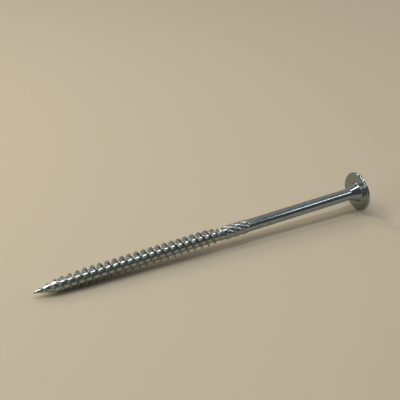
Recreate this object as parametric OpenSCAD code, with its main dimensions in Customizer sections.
// Washer-head construction screw for timber, 8 mm class, in one piece of steel.
// From the point to the head: tapered point, two-start right-hand thread with a run-out,
// four-rib shank cutter, smooth shank, conical neck, thin round head with a six-lobe drive recess.
// The screw is shaped upright with its point at zero, then laid down at rest:
// it touches the ground with one thread crest and with the rim of the head.

/* [Overall] */
// Length from the point to the bearing face under the head
screw_length = 160; // [140:1:220]

/* [Head] */
// Outer diameter of the round head
head_d = 19.5; // [16:0.5:24]
// Thickness of the rim, which is rounded over its whole edge
rim_thickness = 1.3; // [1:0.1:2]
// Height of the head over the bearing face
head_height = 3.4; // [2.8:0.1:4.2]
// Diameter of the flat crown around the drive recess
crown_d = 10; // [9:0.5:12]
// Diameter of the conical neck where it meets the head
neck_d = 9.7; // [8.4:0.1:11]
// Length of the conical neck
neck_length = 4.1; // [3:0.1:7]

/* [Drive recess] */
// Width of the six-lobe recess across its points
recess_d = 6.75; // [5.6:0.05:7]
// Width of the six-lobe recess across its flutes
recess_flute_d = 4.85; // [4.2:0.05:5]
// Depth of the recess from the crown
recess_depth = 4; // [2.5:0.1:4.4]
// Depth of the shallow cone at the bottom of the recess
recess_floor = 0.8; // [0.4:0.1:1]

/* [Shank] */
// Diameter of the smooth shank
shank_d = 5.8; // [5.6:0.1:6.2]

/* [Cutter] */
// Length of the cutter ribs along the shank
cutter_length = 13; // [9:0.5:18]
// Outer diameter over the cutter ribs
cutter_d = 6.35; // [6.2:0.05:6.8]
// Diameter in the grooves between the ribs
groove_d = 5.5; // [5.3:0.05:5.6]
// Advance of one cutter rib in a full turn
cutter_lead = 16.5; // [12:0.5:24]

/* [Thread] */
// Outer diameter over the thread crests
thread_d = 7.8; // [7.4:0.1:8.2]
// Core diameter between the crests
core_d = 5.2; // [4.8:0.1:5.4]
// Distance from one crest to the next along the screw
crest_spacing = 3.3; // [2.8:0.1:3.8]
// Width of the flat on top of a crest
crest_width = 0.35; // [0.25:0.05:0.5]
// Width of one sloping flank along the screw
flank_width = 0.47; // [0.35:0.01:0.6]
// Rise of the hollow between two crests from its middle to the foot of a flank
hollow_rise = 0.05; // [0.05:0.05:0.4]
// Distance from the point to the end of the thread
thread_length = 87; // [70:1:98]
// Length over which the crests sink into the shank at the end of the thread
runout_length = 10.5; // [7:0.5:16]

/* [Point] */
// Length of the conical core at the point
point_length = 10.5; // [8:0.5:14]
// Length over which the crests grow from the point to full height
crest_growth = 23.2; // [18:0.1:28]
// Diameter of the blunt end of the point
point_d = 0.4; // [0.2:0.1:0.8]

/* [Hidden] */
$fn = 48;

// Two crests run side by side, so each one advances two spacings in a turn
starts = 2;
lead = starts * crest_spacing;
steps_a_turn = 20;
head_r = head_d / 2;
shank_r = shank_d / 2;
core_r = core_d / 2;
crest_height = (thread_d - core_d) / 2;
rib_height = (cutter_d - groove_d) / 2;
cutter_end = thread_length + cutter_length;
neck_start = screw_length - neck_length;
head_top = screw_length + head_height;

// Round edge of the rim, from the bearing face up to the top side
rim_r = rim_thickness / 2;
rim_centre = head_r - rim_r;
rim_place = screw_length + rim_r;
rim_slices = 12;
rim_edge = [
    for (k = [0:rim_slices])
        let (a = 180 * k / rim_slices - 90)
        [rim_centre + rim_r * cos(a), rim_place + rim_r * sin(a)]
];

// Six-lobe recess: round flutes stand between the lobes
lobes = 6;
lobe_turn = 360 / lobes;
flute_r = 1.5;
floor_inset = 0.3;
floor_tip_d = 0.6;

// Corners of the cross-section for one start: two on the crest, six along the core
crest_turn = 180 * crest_width / crest_spacing / 2;
root_turn = crest_turn + 180 * flank_width / crest_spacing;
root_gap = (180 - 2 * root_turn) / 5;
one_start = [-crest_turn, crest_turn, for (k = [0:5]) root_turn + k * root_gap];
corner_turn = [for (s = [0:starts - 1], q = one_start) 180 * s + q];
corners = len(corner_turn);
hollow_share = hollow_rise / crest_height;
one_rise = [1, 1, for (k = [0:5]) hollow_share * pow(2 * k / 5 - 1, 2)];
corner_rise = [for (s = [0:starts - 1], q = one_rise) q];

// Corners of the cross-section in the cutter: three on the broad top of each rib, one in the groove before it
ribs = 4;
rib_gap = 360 / ribs;
rib_half = 24;
rib_middle = 62;
one_rib = [rib_middle + rib_half - rib_gap, rib_middle - rib_gap / 2, rib_middle - rib_half, rib_middle];
rib_turn = [for (k = [0:ribs - 1], q = one_rib) rib_gap * k + q];
rib_rise = [for (j = [0:corners - 1]) j % 4 == 1 ? 0 : 1];
rib_rows = 26;
rib_start = 1.6;
rib_stop = 0.7;

// Small shoulder where the cutter meets the round shank
shoulder = 0.06;

// Places of the cross-sections along the screw
thread_rows = round(thread_length / lead * steps_a_turn);
row_step = thread_length / thread_rows;
thread_places = [for (i = [0:thread_rows]) i * row_step];
cutter_places = [for (i = [1:rib_rows]) thread_length + i * cutter_length / rib_rows];
places = concat(thread_places, cutter_places);
rows = len(places);

// The first crest of full height lies with its flat on the ground
rest_place = (ceil(crest_growth / row_step) + 1) * row_step;
rest_turn = -360 * rest_place / lead;

function clamp(x) = min(1, max(0, x));

// Height of the crests, growing from the point and sinking at the run-out
function growth(z) = pow(clamp(z / crest_growth), 1.2);
function runout(z) = pow(clamp((z - thread_length + runout_length) / runout_length), 2);
function crest_share(z) = growth(z) * (1 - runout(z));

// Radius of the core: cone at the point, then straight, then widening to the cutter grooves
function core_at(z) =
    z < point_length ? point_d / 2 + (core_r - point_d / 2) * z / point_length
    : core_r + (groove_d / 2 - core_r) * clamp((z - thread_length + runout_length / 2) * 2 / runout_length);

// Height of the cutter ribs, and the groove that closes nearly to the shank at the end
function rib_share(z) = clamp((z - thread_length) / rib_start) * clamp((cutter_end - z) / rib_stop);
function groove_at(z) =
    groove_d / 2 + (shank_r - shoulder - groove_d / 2) * clamp(1 - (cutter_end - z) / rib_stop);

function turn_at(z) =
    360 * min(z, thread_length) / lead + 360 * max(0, z - thread_length) / cutter_lead;
function corner_at(z, j) = rest_turn + turn_at(z) + (z > thread_length ? rib_turn[j] : corner_turn[j]);
function radius_at(z, j) =
    z > thread_length ? groove_at(z) + rib_height * rib_share(z) * rib_rise[j]
    : core_at(z) + crest_height * crest_share(z) * corner_rise[j];

// Lie of the screw: the ground touches the rim and the lowest corner of the thread
lie_angle = min([
    for (z = thread_places, j = [0:corners - 1])
        atan((head_r - radius_at(z, j) * cos(corner_at(z, j))) / (rim_place - z))
]);
lift = head_r * cos(lie_angle) - rim_place * sin(lie_angle);
tip_x = -point_d / 2 * sin(lie_angle);
head_x = head_top * cos(lie_angle) + crown_d / 2 * sin(lie_angle);
rim_x = (rim_place + rim_r) * cos(lie_angle) + rim_centre * sin(lie_angle);
centre_x = (tip_x + max(head_x, rim_x)) / 2;

// Thread and cutter as one closed skin between its cross-sections
module thread_and_cutter() {
    points = [
        for (z = places, j = [0:corners - 1])
            let (r = radius_at(z, j), t = corner_at(z, j))
            [r * cos(t), r * sin(t), z]
    ];
    sides = [
        for (i = [0:rows - 2], j = [0:corners - 1])
            let (a = i * corners + j, b = i * corners + (j + 1) % corners)
            each [[a, a + corners, b], [a + corners, b + corners, b]]
    ];
    point_end = [for (j = [0:corners - 1]) j];
    shank_end = [for (j = [corners - 1:-1:0]) (rows - 1) * corners + j];
    polyhedron(points = points, faces = concat(sides, [point_end, shank_end]), convexity = 10);
}

// Smooth shank, conical neck and head, turned around the axis
module shank_and_head() {
    rotate_extrude()
        polygon([
            [0, cutter_end],
            [shank_r, cutter_end],
            [shank_r, neck_start],
            [neck_d / 2, screw_length],
            each rim_edge,
            [crown_d / 2, head_top],
            [0, head_top]
        ]);
}

// Hole of the drive: round, with the flutes left standing and a shallow cone at the bottom
module drive_recess() {
    translate([0, 0, head_top - recess_depth]) {
        difference() {
            cylinder(d = recess_d, h = recess_depth + 1);
            for (k = [0:lobes - 1])
                rotate([0, 0, lobe_turn * k])
                    translate([recess_flute_d / 2 + flute_r, 0, -1])
                        cylinder(r = flute_r, h = recess_depth + 3);
        }
        translate([0, 0, -recess_floor])
            cylinder(d1 = floor_tip_d, d2 = recess_flute_d - 2 * floor_inset, h = recess_floor);
    }
}

// The whole screw, laid down at rest with its length along the first axis
module screw() {
    color([0.52, 0.54, 0.54])
        translate([-centre_x, 0, lift])
            rotate([0, 90 - lie_angle, 0]) {
                thread_and_cutter();
                rotate([0, 0, lobe_turn / 2])
                    difference() {
                        shank_and_head();
                        drive_recess();
                    }
            }
}

screw();
